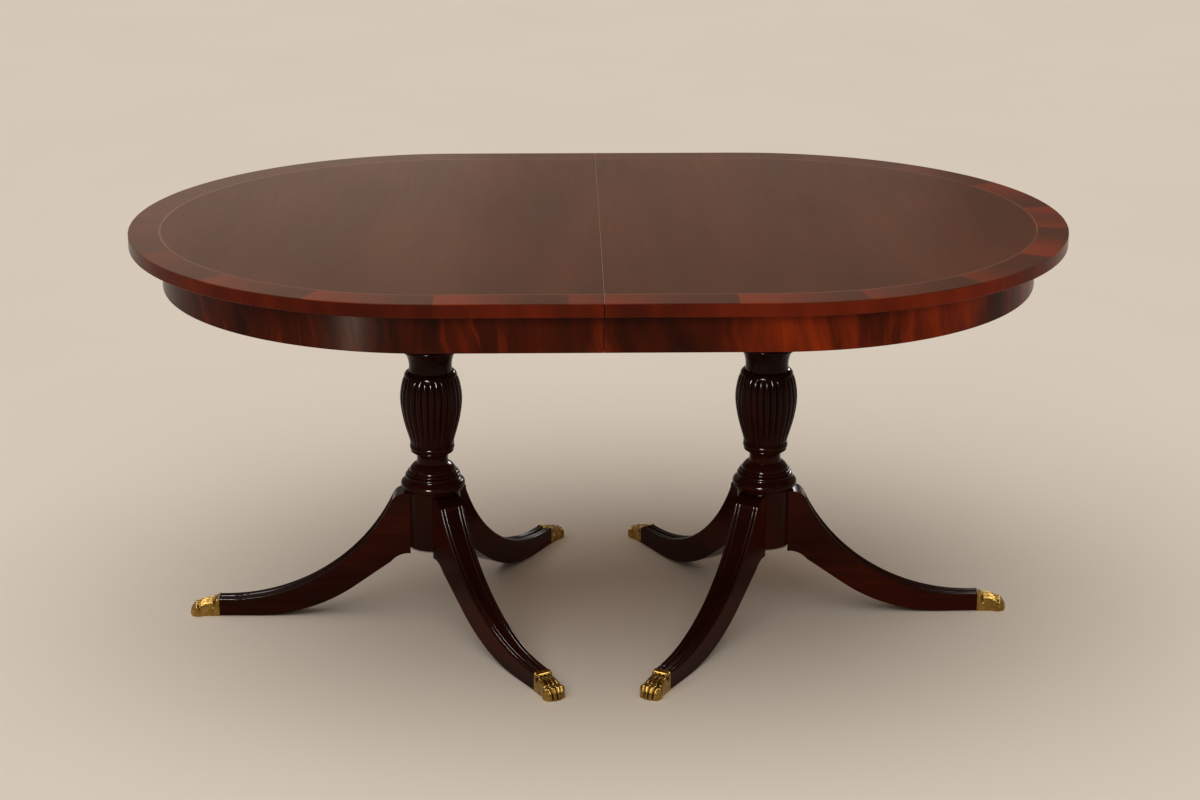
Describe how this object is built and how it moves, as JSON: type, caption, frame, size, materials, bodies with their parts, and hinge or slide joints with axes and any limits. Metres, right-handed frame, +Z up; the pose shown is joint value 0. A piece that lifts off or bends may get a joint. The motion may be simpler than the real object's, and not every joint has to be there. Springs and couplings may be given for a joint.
{
  "type": "double pedestal dining table",
  "caption": "Racetrack oval extension dining table with a crossbanded top on twin reeded pedestals, saber legs and brass paw feet.",
  "frame": {"origin": "on the floor under the middle of the top, on the seam between the halves", "axes": "+X along the top towards the half that pulls out, -Y towards the front, +Z up"},
  "size_m": [1.6762, 1.1176, 0.762],
  "materials": {
    "field_mahogany": "glossy lacquered mahogany veneer, grain along the table",
    "crossband_mahogany": "glossy lacquered mahogany crossbanding, grain across the edge",
    "string_boxwood": "pale string inlay under lacquer",
    "apron_mahogany": "glossy lacquered figured mahogany, figure upright",
    "turned_mahogany": "glossy dark red-brown lacquered mahogany",
    "core_wood": "bare lumber core",
    "slide_wood": "bare waxed hardwood",
    "brass": "polished cast brass",
    "steel": "plain steel"
  },
  "bodies": {
    "left_half": {"left_field_veneer": "field_mahogany", "left_string_inlay": "string_boxwood", "left_crossband": "crossband_mahogany", "left_edge_lipping": "crossband_mahogany", "left_top_core": "core_wood", "left_top_screws": "steel", "left_bearer": "slide_wood", "left_slide_front": "slide_wood", "left_slide_back": "slide_wood", "left_slide_stop_pins": "steel", "left_apron_front_rail": "apron_mahogany", "left_apron_back_rail": "apron_mahogany", "left_apron_front_bend": "apron_mahogany", "left_apron_back_bend": "apron_mahogany", "left_glue_blocks": "core_wood", "left_column": "turned_mahogany", "left_leg_outer": "turned_mahogany", "left_leg_front": "turned_mahogany", "left_leg_back": "turned_mahogany", "left_leg_plate": "steel", "left_leg_plate_screws": "steel", "left_paw_outer": "brass", "left_paw_front": "brass", "left_paw_back": "brass", "left_paw_nails": "brass", "left_lock_plates": "steel", "alignment_pins": "brass"},
    "right_half": {"right_field_veneer": "field_mahogany", "right_string_inlay": "string_boxwood", "right_crossband": "crossband_mahogany", "right_edge_lipping": "crossband_mahogany", "right_top_core": "core_wood", "right_top_screws": "steel", "right_bearer": "slide_wood", "right_slide_front": "slide_wood", "right_slide_back": "slide_wood", "right_slide_stop_pins": "steel", "right_apron_front_rail": "apron_mahogany", "right_apron_back_rail": "apron_mahogany", "right_apron_front_bend": "apron_mahogany", "right_apron_back_bend": "apron_mahogany", "right_glue_blocks": "core_wood", "right_column": "turned_mahogany", "right_leg_outer": "turned_mahogany", "right_leg_front": "turned_mahogany", "right_leg_back": "turned_mahogany", "right_leg_plate": "steel", "right_leg_plate_screws": "steel", "right_paw_outer": "brass", "right_paw_front": "brass", "right_paw_back": "brass", "right_paw_nails": "brass", "right_lock_keepers": "steel"},
    "front_runner": {"front_middle_runner": "slide_wood"},
    "back_runner": {"back_middle_runner": "slide_wood"},
    "front_lock": {"front_lock_lever": "steel"},
    "back_lock": {"back_lock_lever": "steel"}
  },
  "joints": [
    {"name": "extension", "type": "slide", "parent": "left_half", "child": "right_half", "axis": [1, 0, 0], "range_m": [0, 0.9144]},
    {"name": "front_runner_slide", "type": "slide", "parent": "left_half", "child": "front_runner", "axis": [1, 0, 0], "range_m": [0, 0.4572]},
    {"name": "back_runner_slide", "type": "slide", "parent": "left_half", "child": "back_runner", "axis": [1, 0, 0], "range_m": [0, 0.4572]},
    {"name": "front_lock_turn", "type": "hinge", "parent": "left_half", "child": "front_lock", "pos_m": [-0.036, -0.3534, 0.7337], "axis": [0, 0, 1], "range_deg": [0, 90]},
    {"name": "back_lock_turn", "type": "hinge", "parent": "left_half", "child": "back_lock", "pos_m": [-0.036, 0.3534, 0.7337], "axis": [0, 0, 1], "range_deg": [0, 90]}
  ],
  "couplings": [
    {"joint": "front_runner_slide", "follows": "extension", "ratio": 0.5},
    {"joint": "back_runner_slide", "follows": "extension", "ratio": 0.5}
  ]
}
